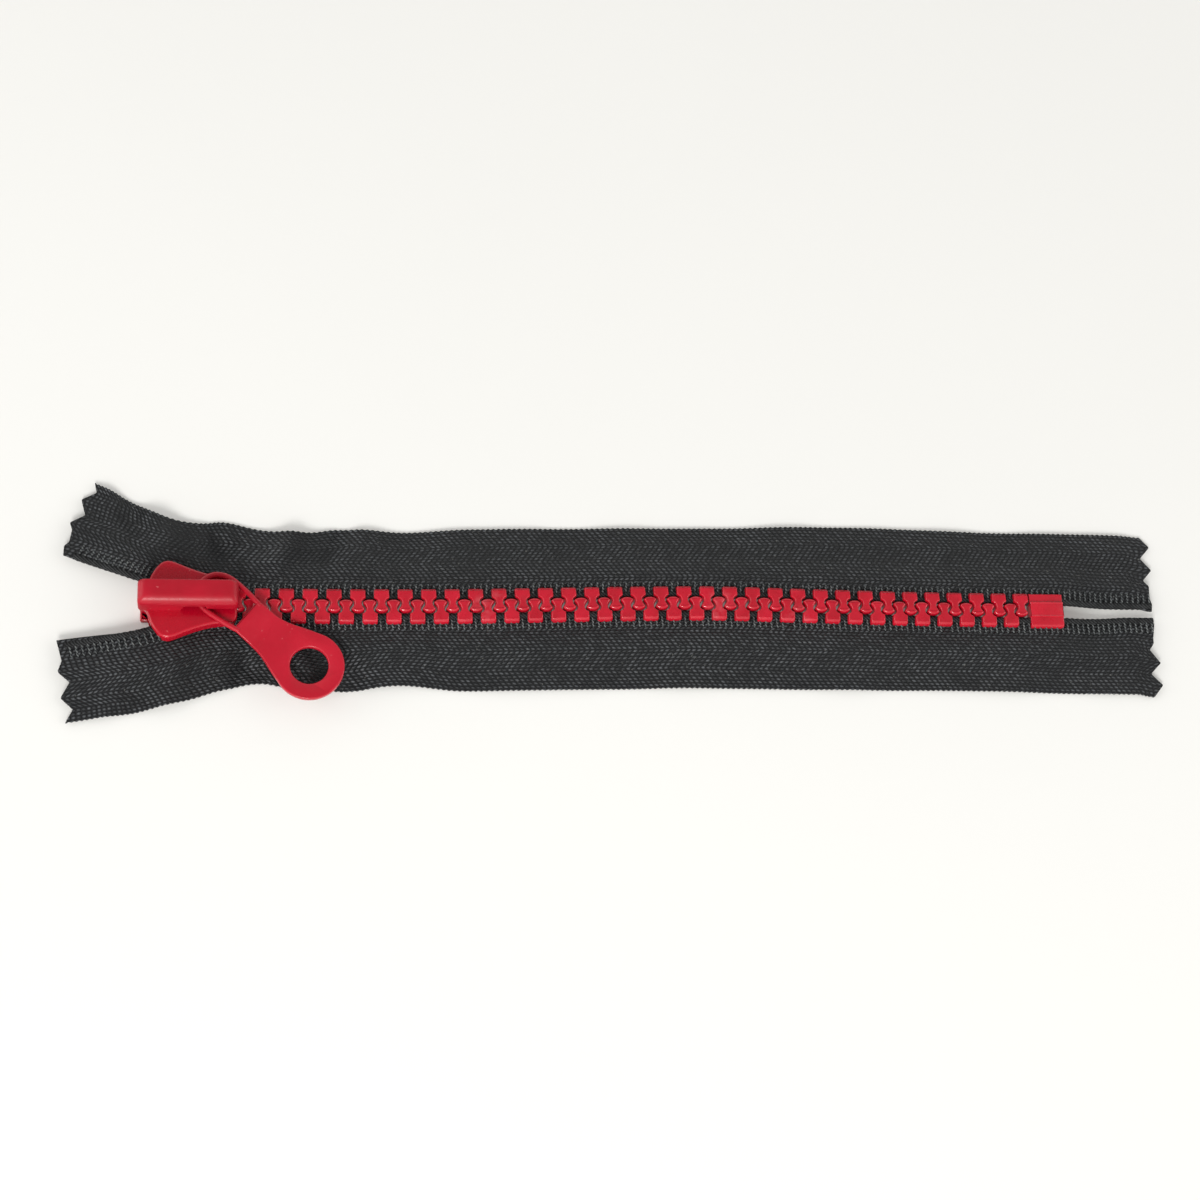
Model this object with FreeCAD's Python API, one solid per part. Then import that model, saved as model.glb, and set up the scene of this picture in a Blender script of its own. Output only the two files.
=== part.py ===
import FreeCAD, Part
import math
import os

# A closed-end zipper with moulded teeth, lying closed on a table. X runs along the chain from the slider's
# end (-X) to the bottom stop (+X), +Y is the right-hand tape, +Z is the slider's front. Millimetres.

os.makedirs("parts", exist_ok=True)
Vector = FreeCAD.Vector
UP = Vector(0, 0, 1)

# driving dimensions of the chain
PITCH = 4.5
TOOTH_HALF_ROW = 3.6
TOOTH_THICK = 2.8
TOOTH_HALF_BLOCK = 1.45
TOOTH_HALF_NECK = 0.66
TOOTH_HALF_HEAD = 1.2
HEAD_REACH = 1.25
FIRST_TOOTH_X = {1: 78.75, -1: 76.5}
STOP_FROM_X = 80.5
STOP_LENGTH = 7.3

# driving dimensions of the tapes
TAPE_THICK = 0.5
TAPE_EDGE = 16.7
TAPE_LEVEL_TO = 8.2
CORD_RADIUS = 0.7
CORD_OFFSET = 2.0
TAPE_BOTTOM_END_X = 107.6
PINK_DEPTH = 1.9
PINKS = 4
CUT_GAP = 0.1

# driving dimensions of the slider
SLIDER_REAR_X = -74.4
SLIDER_FRONT_X = -92.6
PLATE = 1.3
RUN = 0.15
CROWN_FRONT_X = -92.8
CROWN_REAR_X = -74.2
CROWN_HALF = 2.45
CROWN_HEIGHT = 4.7
CROWN_WALL = 0.7
LOOP_GAP = 1.25

# driving dimensions of the pull, along its own length from the point it swings about
SWIVEL_X = -76.5
PULL_YAW = -38.8
LOOP_WIRE = 0.8
NECK_FROM = 4.7
NECK_HALF = 3.7
BEND_TO = 9.3
RING_AT = 19.88
RING_RADIUS = 6.6
EYE_RADIUS = 3.6
TAB_THICK = 1.2

CHAIN_Z = PLATE + RUN + TOOTH_THICK / 2
TEETH_TOP = CHAIN_Z + TOOTH_THICK / 2
BODY_TOP = 2 * CHAIN_Z

# Each side's chain line leaves the straight above this point: (length, outward turn in degrees) of each run.
BEND_X = -79.7
ROUTES = {
    1: [(3.6, 17.0), (8.8, 0.0), (3.0, 4.0), (22.0, 0.0)],
    -1: [(3.6, 17.0), (8.8, 0.0), (4.0, -8.0), (22.0, 0.0)],
}
SIDES = {"right": 1, "left": -1}

# Teeth carried by each tape segment, from the bottom stop up.
SEGMENTS = {"bottom": 2, "lower": 3, "middle": 11, "upper": 11, "top": 10}


def on_route(side, station):
    """Plan point of a side's chain line at a station, and its outward turn. Stations run like X."""
    x, y, turned = BEND_X, 0.0, 0.0
    left = BEND_X - station
    if left <= 0:
        return Vector(station, 0, 0), 0.0
    for length, turn in ROUTES[side]:
        step = min(left, length)
        start = math.radians(turned)
        if turn:
            radius = length / math.radians(turn)
            end = start + step / radius
            x -= radius * (math.sin(end) - math.sin(start))
            y += radius * (math.cos(start) - math.cos(end))
            turned = math.degrees(end)
        else:
            x -= step * math.cos(start)
            y += step * math.sin(start)
        left -= step
        if left <= 1e-9:
            break
    return Vector(x, side * y, 0), turned


def beside_route(side, station, out, z=0.0):
    """Point at a distance out from a side's chain line, on the tape's side of it."""
    point, turned = on_route(side, station)
    angle = math.radians(turned)
    return point + Vector(out * math.sin(angle), side * out * math.cos(angle), z)


def prism(points, z_from, z_to):
    """Upright solid over a closed plan outline given as (x, y) corners."""
    corners = [Vector(x, y, z_from) for x, y in points]
    face = Part.Face(Part.makePolygon(corners + corners[:1]))
    return face.extrude(Vector(0, 0, z_to - z_from))


def box(x_from, x_to, y_from, y_to, z_from, z_to):
    """Solid block between two corners."""
    size = Vector(x_to - x_from, y_to - y_from, z_to - z_from)
    return Part.makeBox(size.x, size.y, size.z, Vector(x_from, y_from, z_from))


def save(name, solids):
    """Write one node's solids as a STEP file."""
    shape = solids[0] if len(solids) == 1 else Part.makeCompound(solids)
    shape.exportStep(f"parts/{name}.step")


# ---- teeth ---------------------------------------------------------------------------------------


def cord_and_tape_room(length):
    """The space a moulded piece leaves for the beaded edge and the tape, as drawn for the +Y side."""
    start = Vector(-length / 2, CORD_OFFSET, CHAIN_Z)
    bead = Part.makeCylinder(CORD_RADIUS + 0.05, length, start, Vector(1, 0, 0))
    half = TAPE_THICK / 2 + 0.02
    slot = box(-length / 2, length / 2, CORD_OFFSET, TOOTH_HALF_ROW + 1, CHAIN_Z - half, CHAIN_Z + half)
    return bead.fuse(slot)


def make_tooth():
    """One tooth at the origin, as drawn for the +Y side: outer block, narrow neck and rounded head."""
    block_from = 1.45  # inner end of the outer block
    neck_at = 0.55  # where the neck is narrowest
    head_at = -0.62  # where the head is widest
    edge = [Vector(TOOTH_HALF_BLOCK, TOOTH_HALF_ROW, 0), Vector(TOOTH_HALF_BLOCK, block_from + 0.15, 0)]
    edge.append(Vector(TOOTH_HALF_BLOCK - 0.15, block_from, 0))
    edge.append(Vector(TOOTH_HALF_NECK + 0.12, block_from - 0.2, 0))
    edge.append(Vector(TOOTH_HALF_NECK, neck_at, 0))
    edge.append(Vector(TOOTH_HALF_HEAD - 0.1, head_at + 0.35, 0))
    edge.append(Vector(TOOTH_HALF_HEAD, head_at, 0))
    edge.append(Vector(TOOTH_HALF_HEAD - 0.38, head_at - 0.48, 0))
    mirrored = [Vector(-p.x, p.y, 0) for p in reversed(edge)]
    sides = [Part.makePolygon(edge), Part.makePolygon(mirrored)]
    tip = Part.Arc(edge[-1], Vector(0, -HEAD_REACH, 0), mirrored[0]).toShape()
    back = Part.makeLine(mirrored[-1], edge[0])
    outline = Part.Wire([*sides[0].Edges, tip, *sides[1].Edges, back])
    solid = Part.Face(outline).extrude(Vector(0, 0, TOOTH_THICK))
    solid.translate(Vector(0, 0, TEETH_TOP - TOOTH_THICK))
    return solid.cut(cord_and_tape_room(2 * PITCH))


def placed(solid, side, station):
    """A piece drawn for the +Y side at the origin, set on its side's chain line."""
    piece = solid.copy()
    if side < 0:
        piece = piece.mirror(Vector(0, 0, 0), Vector(0, 1, 0))
    point, turned = on_route(side, station)
    piece.rotate(Vector(0, 0, 0), UP, -side * turned)
    piece.translate(point)
    return piece


def make_top_stop():
    """Moulded block that ends a row of teeth, as drawn for the +Y side."""
    length = 3.0
    body = box(-length / 2, length / 2, 0.55, TOOTH_HALF_ROW, TEETH_TOP - TOOTH_THICK, TEETH_TOP)
    return body.cut(cord_and_tape_room(2 * PITCH))


def make_bottom_stop():
    """Moulded block across both rows, with a low step along each side and room for both beaded edges."""
    step = 0.25
    crown_half = 1.6
    bottom = TEETH_TOP - TOOTH_THICK
    end = STOP_FROM_X + STOP_LENGTH
    body = box(STOP_FROM_X, end, -TOOTH_HALF_ROW, TOOTH_HALF_ROW, bottom, TEETH_TOP - step)
    band = box(STOP_FROM_X, end, -crown_half, crown_half, TEETH_TOP - step, TEETH_TOP)
    body = body.fuse(band)
    room = cord_and_tape_room(4 * STOP_LENGTH)
    room.translate(Vector(STOP_FROM_X, 0, 0))
    body = body.cut(room)
    return body.cut(room.mirror(Vector(0, 0, 0), Vector(0, 1, 0)))


# ---- tapes ---------------------------------------------------------------------------------------

# Outer selvedge above the slider, where the tapes spread, as plan points: (station, x, y from the middle).
FLARE = {
    1: [
        (-83, -82, 17.2),
        (-86, -85.5, 17.9),
        (-90, -89.5, 19.2),
        (-94, -93, 20.8),
        (-103, -99.5, 24.2),
        (-113, -107, 27.6),
    ],
    -1: [
        (-83, -82, 17.2),
        (-86, -85.5, 18),
        (-90, -90, 19.4),
        (-95, -95.5, 20.6),
        (-112, -111, 24.7),
    ],
}
# Inner and outer tip of each tape's pinked top end, and where its beaded edge ends.
TOP_END = {1: [(-106.9, 9.9), (-101.4, 25.0)], -1: [(-107.6, 6.6), (-105.6, 23.7)]}
CORD_TOP_STATION = {1: -108.0, -1: -107.6}


def tape_section(inner, outer):
    """Upright section of a tape between two plan points: level by the chain, then down to the table."""
    across = outer - inner
    width = across.Length
    level = inner + across * ((TAPE_LEVEL_TO - CORD_OFFSET - CORD_RADIUS) / width)
    half = Vector(0, 0, TAPE_THICK / 2)
    high = Vector(0, 0, CHAIN_Z)
    below = [inner + high - half, level + high - half, outer]
    above = [outer + half * 2, level + high + half, inner + high + half]
    return Part.makePolygon(below + above + below[:1])


def tape_run(side, stations):
    """Tape solid through stations, each a (station along the chain line, outer plan point)."""
    inner_out = CORD_OFFSET + CORD_RADIUS + 0.08
    sections = []
    for station, outer in stations:
        sections.append(tape_section(beside_route(side, station, inner_out), outer))
    return Part.makeLoft(sections, True, True)


def pinked(start, stop, depth):
    """Zigzag of a pinked cut edge from one plan point to another."""
    along = stop - start
    out = Vector(-along.y, along.x, 0).normalize() * depth
    corners = []
    for i in range(2 * PINKS + 1):
        corners.append(start + along * (i / (2 * PINKS)) + out * (i % 2))
    return corners


def top_tape(side, from_x):
    """Topmost tape segment of a side: straight to the slider, then spreading to its pinked end."""
    stations = [(from_x - CUT_GAP, Vector(from_x - CUT_GAP, side * TAPE_EDGE, 0))]
    stations.append((BEND_X, Vector(BEND_X, side * TAPE_EDGE, 0)))
    for station, x, y in FLARE[side]:
        stations.append((station, Vector(x, side * y, 0)))
    strip = tape_run(side, stations)
    inner, outer = [Vector(x, side * y, 0) for x, y in TOP_END[side]]
    past = (outer - inner) * 0.05
    edge = pinked(inner - past, outer + past, side * -PINK_DEPTH)
    keep = [(p.x, p.y) for p in edge] + [(-30, side * 40), (-30, 0), (-90, 0)]
    return strip.common(prism(keep, -1, 12))


def bottom_tape(side, to_x):
    """Bottom tape segment of a side, from its first hinge line to its pinked end past the bottom stop."""
    stations = [(x, Vector(x, side * TAPE_EDGE, 0)) for x in (to_x + CUT_GAP, TAPE_BOTTOM_END_X)]
    strip = tape_run(side, stations)
    notches = TAPE_BOTTOM_END_X - PINK_DEPTH
    outer = TAPE_EDGE + 0.7
    edge = pinked(Vector(notches, side, 0), Vector(notches, side * outer, 0), side * -PINK_DEPTH)
    keep = [(p.x, p.y) for p in edge] + [(60, side * 20), (60, side)]
    return strip.common(prism(keep, -1, 12))


def cord_run(side, from_x, to_x):
    """Beaded edge of a tape between two stations, as a round cord swept along the chain line."""
    knots = [from_x]
    station = BEND_X
    for length, turn in [(0, 0)] + ROUTES[side]:
        station -= length
        if to_x < station < from_x:
            knots.append(station)
    knots.append(to_x)
    edges = []
    for a, b in zip(knots, knots[1:]):
        points = [beside_route(side, s, CORD_OFFSET, CHAIN_Z) for s in (a, (a + b) / 2, b)]
        chord = points[2] - points[0]
        bulge = (points[1] - points[0]).cross(chord).Length / chord.Length
        edges.append(Part.Arc(*points).toShape() if bulge > 1e-4 else Part.makeLine(points[0], points[2]))
    _, turned = on_route(side, from_x)
    heading = Vector(-math.cos(math.radians(turned)), side * math.sin(math.radians(turned)), 0)
    profile = Part.Wire(Part.makeCircle(CORD_RADIUS, edges[0].Vertexes[0].Point, heading))
    return Part.Wire(edges).makePipeShell([profile], True, True)


def segment_limits(side):
    """Stations where a side's segments meet, half-way between two teeth, from the bottom up."""
    limits = []
    count = 0
    for teeth in list(SEGMENTS.values())[:-1]:
        count += teeth
        limits.append(FIRST_TOOTH_X[side] - (count - 0.5) * PITCH)
    return limits


# ---- slider --------------------------------------------------------------------------------------


def slider_outline():
    """Plan outline of both slider plates: blunt nose, two round shoulders, sides pulled in to the tail."""
    nose = [(SLIDER_FRONT_X, 0), (-92.2, 1.5), (-91.3, 2.5), (-90.5, 4.6), (-89, 6.85)]
    shoulder = [(-89, 6.85), (-87.8, 7.65), (-86.3, 7.5)]
    flank = [(-86.3, 7.5), (-83.4, 6.3), (-79.4, 5.0), (SLIDER_REAR_X - 1.2, 4.75)]
    tail = [(SLIDER_REAR_X - 1.2, 4.75), (SLIDER_REAR_X - 0.35, 4.4), (SLIDER_REAR_X, 3.65)]
    halves = []
    for sign in (1, -1):
        edges = []
        for run in (nose, shoulder, flank, tail):
            points = [Vector(x, sign * y, 0) for x, y in run]
            if len(points) == 3:
                edges.append(Part.Arc(*points).toShape())
            else:
                curve = Part.BSplineCurve()
                curve.interpolate(points)
                edges.append(curve.toShape())
        halves.append(edges)
    back = Part.makeLine(Vector(SLIDER_REAR_X, 3.65, 0), Vector(SLIDER_REAR_X, -3.65, 0))
    ordered = Part.sortEdges(halves[0] + [back] + halves[1])[0]
    return Part.Wire(ordered)


def make_slider_body():
    """Cast body: two flanged plates joined by the divider, a square toe below and two lugs for the crown."""
    block = Part.Face(slider_outline()).extrude(Vector(0, 0, BODY_TOP))
    rims = [e for e in block.Edges if abs(e.BoundBox.ZMin - e.BoundBox.ZMax) < 1e-6]
    block = block.makeFillet(0.35, rims)
    wide = [(-70, 3.9), (-79, 3.9), (-83.3, 5.7), (-86.4, 6.8), (-89.6, 7.0), (-95, 7.0)]
    channel = prism(wide + [(x, -y) for x, y in reversed(wide)], PLATE, BODY_TOP - PLATE)
    flange_gap = 1.1
    gap_from = CHAIN_Z - flange_gap / 2
    slot = box(-100, -60, -12, 12, gap_from, gap_from + flange_gap)
    body = block.cut(channel).cut(slot)
    half = [(-87.6, 0.35), (-89.6, 1.15), (-91.2, 1.3), (SLIDER_FRONT_X + 0.25, 0.9)]
    divider = prism(half + [(x, -y) for x, y in reversed(half)], PLATE / 2, BODY_TOP - PLATE / 2)
    pawl_window = box(-79.6, -78.2, -0.6, 0.6, BODY_TOP - PLATE - 1, BODY_TOP + 1)
    lug_foot = BODY_TOP - 0.4
    lug_top = BODY_TOP + 1.7
    front_lug = box(-90.6, -86.8, -1.5, 1.5, lug_foot, lug_top)
    toe = box(SLIDER_FRONT_X + 0.1, -90.2, -2.9, 2.9, 0.1, PLATE)
    rear_lug = box(-76.4, -75.2, -0.8, 0.8, lug_foot, lug_top)
    body = body.fuse([divider, toe, front_lug, rear_lug]).cut(pawl_window)
    return body.removeSplitter()


def make_crown():
    """Pressed cover over the lugs: open below, with its side walls cut back where the pull's loop passes."""
    top = BODY_TOP + CROWN_HEIGHT
    seat = BODY_TOP + 0.02
    shell = box(CROWN_FRONT_X, CROWN_REAR_X, -CROWN_HALF, CROWN_HALF, seat, top)
    shell = shell.makeFillet(0.9, [e for e in shell.Edges if e.BoundBox.ZMin > seat + 0.1])
    half = CROWN_HALF - CROWN_WALL
    hollow_from = CROWN_FRONT_X + CROWN_WALL
    hollow_to = CROWN_REAR_X - CROWN_WALL
    inside = box(hollow_from, hollow_to, -half, half, seat - 1, top - CROWN_WALL)
    notch_from = -84.8
    notch_to = -80.4
    notch_top = BODY_TOP + 2.4
    beyond = CROWN_HALF + 1.5
    under = box(notch_from, CROWN_REAR_X + 1, -beyond, beyond, seat - 1, BODY_TOP + LOOP_GAP)
    notch = box(notch_from, notch_to, -beyond, beyond, seat - 1, notch_top)
    return shell.cut([inside, under, notch])


def make_lock_spring():
    """Bent strip of spring steel: held on the front lug, its tail turned down as the pawl over the teeth."""
    level = BODY_TOP + 1.75
    thick = 0.3
    half_strip = 0.7
    half_pawl = 0.4
    front = -90.2
    rear = -78.55
    strip = box(front, rear, -half_strip, half_strip, level, level + thick)
    pawl = box(rear - thick, rear, -half_pawl, half_pawl, TEETH_TOP + 0.08, level + thick)
    return strip.fuse(pawl).removeSplitter()


# ---- pull ----------------------------------------------------------------------------------------


def smooth(points):
    """Smooth plan curve through points."""
    curve = Part.BSplineCurve()
    curve.interpolate([Vector(x, y, 0) for x, y in points])
    return curve


def loop_area(middle, offset):
    """Plan area inside the loop's middle line moved out by offset and closed straight across at the neck."""
    stations = 16
    points = []
    for i in range(stations + 1):
        at = middle.FirstParameter + (middle.LastParameter - middle.FirstParameter) * i / stations
        along = middle.tangent(at)[0]
        here = middle.value(at)
        points.append((here.x + along.y * offset, here.y - along.x * offset))
    close = Part.makeLine(Vector(*points[-1], 0), Vector(*points[0], 0))
    return Part.Face(Part.Wire([smooth(points).toShape(), close]))


def loop_ring(z_from):
    """The pull's thin loop: arms leave the neck, bulge a little and close round under the crown's rear."""
    arm = [(NECK_FROM + 2, 3.0), (NECK_FROM, 3.3), (1.4, 3.95), (-1.1, 4.1)]
    arm += [(-3.2, 3.75), (-4.7, 2.8), (-5.55, 1.45)]
    middle = smooth(arm + [(-5.8, 0)] + [(x, -y) for x, y in reversed(arm)])
    ring = loop_area(middle, LOOP_WIRE / 2).cut(loop_area(middle, -LOOP_WIRE / 2))
    ring = ring.extrude(Vector(0, 0, LOOP_WIRE))
    ring.translate(Vector(0, 0, z_from))
    return ring.cut(box(NECK_FROM + 0.7, 20, -9, 9, 0, 20))


def make_pull():
    """One cast pull: thin loop under the crown, a sloped neck and a flat tab with a round eye."""
    loop_z = BODY_TOP + 0.2
    tab_z = TEETH_TOP + 0.2
    leave = math.radians(115)
    touch = (RING_AT + RING_RADIUS * math.cos(leave), RING_RADIUS * math.sin(leave))
    flank = [(NECK_FROM, NECK_HALF), (8.5, NECK_HALF), (10.8, 3.95), (13.0, 4.6), touch]
    mirrored = [(x, -y) for x, y in flank]
    rim = Part.Arc(Vector(*touch, 0), Vector(RING_AT + RING_RADIUS, 0, 0), Vector(*mirrored[-1], 0))
    neck_edge = Part.makeLine(Vector(*flank[0], 0), Vector(*mirrored[0], 0))
    sides = [smooth(flank).toShape(), rim.toShape(), smooth(mirrored).toShape()]
    outline = Part.sortEdges([neck_edge] + sides)[0]
    plate = Part.Face(Part.Wire(outline)).extrude(Vector(0, 0, 20))
    level_to = NECK_FROM + 0.75
    end = RING_AT + 10
    side_view = [(3, loop_z), (level_to, loop_z), (BEND_TO, tab_z), (end, tab_z)]
    side_view += [(end, tab_z + TAB_THICK), (BEND_TO, tab_z + TAB_THICK)]
    side_view += [(level_to, loop_z + LOOP_WIRE), (3, loop_z + LOOP_WIRE)]
    corners = [Vector(x, -12, z) for x, z in side_view]
    slab = Part.Face(Part.makePolygon(corners + corners[:1])).extrude(Vector(0, 24, 0))
    eye = Part.makeCylinder(EYE_RADIUS, 20, Vector(RING_AT, 0, 0))
    pull = plate.common(slab).fuse(loop_ring(loop_z)).cut(eye).removeSplitter()
    pull.rotate(Vector(0, 0, 0), UP, PULL_YAW)
    pull.translate(Vector(SWIVEL_X, 0, 0))
    return pull


# ---- assembly ------------------------------------------------------------------------------------

tooth = make_tooth()
top_stop = make_top_stop()
for hand, side in SIDES.items():
    limits = segment_limits(side)
    edges = [TAPE_BOTTOM_END_X - 1.0 + CUT_GAP] + limits + [CORD_TOP_STATION[side] - CUT_GAP]
    first = 0
    for number, (part_name, count) in enumerate(SEGMENTS.items()):
        below = edges[number] - CUT_GAP
        above = edges[number + 1] + CUT_GAP
        stations = [FIRST_TOOTH_X[side] - PITCH * i for i in range(first, first + count)]
        first += count
        save(f"{hand}_teeth_{part_name}", [placed(tooth, side, s) for s in stations])
        save(f"{hand}_cord_{part_name}", [cord_run(side, below, above)])
        if part_name == "bottom":
            tape = bottom_tape(side, limits[0])
        elif part_name == "top":
            tape = top_tape(side, limits[-1])
        else:
            tape = tape_run(side, [(x, Vector(x, side * TAPE_EDGE, 0)) for x in (below, above)])
        save(f"{hand}_tape_{part_name}", [tape])
    last_tooth = FIRST_TOOTH_X[side] - PITCH * (first - 1)
    save(f"{hand}_top_stop", [placed(top_stop, side, last_tooth - 3.6)])
save("bottom_stop", [make_bottom_stop()])
save("slider_body", [make_slider_body()])
save("crown", [make_crown()])
save("lock_spring", [make_lock_spring()])
save("pull", [make_pull()])
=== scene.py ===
import math

import bmesh
import bpy
from mathutils import Matrix, Vector


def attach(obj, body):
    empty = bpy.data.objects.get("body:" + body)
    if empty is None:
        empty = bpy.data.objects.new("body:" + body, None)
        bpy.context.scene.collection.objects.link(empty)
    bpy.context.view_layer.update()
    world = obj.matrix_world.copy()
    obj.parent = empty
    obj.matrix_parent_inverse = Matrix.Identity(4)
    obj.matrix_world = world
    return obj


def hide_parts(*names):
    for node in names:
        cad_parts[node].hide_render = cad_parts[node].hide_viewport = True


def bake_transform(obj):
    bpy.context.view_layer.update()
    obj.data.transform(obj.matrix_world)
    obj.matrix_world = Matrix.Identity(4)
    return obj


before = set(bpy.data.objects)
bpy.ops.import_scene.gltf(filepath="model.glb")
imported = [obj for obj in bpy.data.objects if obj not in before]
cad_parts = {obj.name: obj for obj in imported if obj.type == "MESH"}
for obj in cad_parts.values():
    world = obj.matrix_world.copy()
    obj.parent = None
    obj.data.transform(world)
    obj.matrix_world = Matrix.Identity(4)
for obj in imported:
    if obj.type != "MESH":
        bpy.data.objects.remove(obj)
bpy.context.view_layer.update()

# ---- the line of the chain -----------------------------
# The two tapes lie side by side with the teeth meshed between them. Above the slider each tape leaves the
# other and runs out on its own line. Lengths are in millimetres, and +1 is the right-hand tape.
MM = 0.001
CHAIN_Z = 2.85
SIDES = {"right": 1, "left": -1}
MEETING_X = -79.7
# Each tape's line past the meeting point, in stretches of (length, turn in degrees).
LEAVING = {
    1: [(3.6, 17.0), (8.8, 0.0), (3.0, 4.0), (30.0, 0.0)],
    -1: [(3.6, 17.0), (8.8, 0.0), (4.0, -8.0), (30.0, 0.0)],
}
# Slight sideways bow of the closed chain, as it was laid down by hand: (station, shift).
BOW = [
    (-120, 0), (-72, 0), (-52, 0.05), (-34, 0.3), (-18, 0.7), (0, 1.2), (17, 1.5), (35, 1.2), (53, 0.88),
    (71, 0.74), (84, 0.72), (120, 0.85),
]


def through(table, at):
    """Smooth curve through rows of (station, value, value ...), at a station."""
    rows = sorted(table)
    last = len(rows) - 1
    k = 0
    while k < last - 1 and rows[k + 1][0] < at:
        k += 1
    span = rows[k + 1][0] - rows[k][0]
    t = (at - rows[k][0]) / span
    values = []
    for column in range(1, len(rows[0])):
        slopes = []
        for i in (k, k + 1):
            before, after = rows[max(i - 1, 0)], rows[min(i + 1, last)]
            slopes.append((after[column] - before[column]) / (after[0] - before[0]) * span)
        a, b = rows[k][column], rows[k + 1][column]
        bend = (2 * t**3 - 3 * t**2 + 1) * a + (t**3 - 2 * t**2 + t) * slopes[0]
        values.append(bend + (3 * t**2 - 2 * t**3) * b + (t**3 - t**2) * slopes[1])
    return values


def bow(x):
    """Sideways shift of the closed chain at a station."""
    return through(BOW, x)[0]


def chain_line(side, station):
    """Plan point of a side's chain line and its outward turn in radians. Stations run like X."""
    left = MEETING_X - station
    if left <= 0:
        return Vector((station, bow(station), 0)), 0.0
    x, y, turned = MEETING_X, 0.0, 0.0
    for length, turn in LEAVING[side]:
        step = min(left, length)
        start = turned
        if turn:
            radius = length / math.radians(turn)
            turned = start + step / radius
            x -= radius * (math.sin(turned) - math.sin(start))
            y += radius * (math.cos(start) - math.cos(turned))
        else:
            x -= step * math.cos(start)
            y += step * math.sin(start)
        left -= step
        if left <= 1e-9:
            break
    return Vector((x, side * y, 0)), turned


def beside_chain(side, station, out, z=0.0):
    """Point at a distance out from a side's chain line, on that side's tape."""
    point, turned = chain_line(side, station)
    return point + Vector((out * math.sin(turned), side * out * math.cos(turned), z))


# ---- woven cloth ---------------------------------------
# Polyester tape woven in herringbone: short floats of charcoal yarn in rows, each row stepped on from the
# last, with the step turning back every few rows. A grey glint is painted on the tops of the floats; the
# gaps are dark.
def node_group(name, inputs, outputs):
    """An empty shader node group with named number inputs and named outputs."""
    group = bpy.data.node_groups.new(name, "ShaderNodeTree")
    for label, value in inputs.items():
        socket = group.interface.new_socket(label, in_out="INPUT", socket_type="NodeSocketFloat")
        socket.default_value = value
    for label, kind in outputs.items():
        group.interface.new_socket(label, in_out="OUTPUT", socket_type=kind)
    return group, group.nodes.new("NodeGroupInput"), group.nodes.new("NodeGroupOutput")


def maths(tree, operation, *values):
    """Arithmetic on sockets or plain numbers; gives the socket of the result."""
    node = tree.nodes.new("ShaderNodeMath")
    node.operation = operation
    for place, value in enumerate(values):
        if isinstance(value, (int, float)):
            node.inputs[place].default_value = value
        else:
            tree.links.new(value, node.inputs[place])
    return node.outputs[0]


def noise_node(tree, where, scale, detail=2.0, roughness=0.5):
    """Noise at a place; gives the socket of its value."""
    node = tree.nodes.new("ShaderNodeTexNoise")
    node.inputs["Scale"].default_value = scale
    node.inputs["Detail"].default_value = detail
    node.inputs["Roughness"].default_value = roughness
    tree.links.new(where, node.inputs["Vector"])
    return node.outputs["Fac"]


def range_node(tree, value, low, high, out_low=0.0, out_high=1.0):
    """Stretches a value from one range to another, held at both ends."""
    node = tree.nodes.new("ShaderNodeMapRange")
    tree.links.new(value, node.inputs["Value"])
    ends = {"From Min": low, "From Max": high, "To Min": out_low, "To Max": out_high}
    for label, number in ends.items():
        node.inputs[label].default_value = number
    return node.outputs["Result"]


def colour_mix(tree, amount, first, second):
    """Mixes two colours, each a socket or plain numbers, by a mask."""
    node = tree.nodes.new("ShaderNodeMix")
    node.data_type = "RGBA"
    tree.links.new(amount, node.inputs[0])
    for place, colour in ((6, first), (7, second)):
        if isinstance(colour, tuple):
            node.inputs[place].default_value = (*colour, 1.0)
        else:
            tree.links.new(colour, node.inputs[place])
    return node.outputs[2]


def named_value(tree, name):
    """A number kept on the mesh points."""
    node = tree.nodes.new("ShaderNodeAttribute")
    node.attribute_name = name
    return node.outputs["Fac"]


def object_place(tree):
    """Place on the piece in its own space, in metres."""
    return tree.nodes.new("ShaderNodeTexCoord").outputs["Object"]


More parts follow.
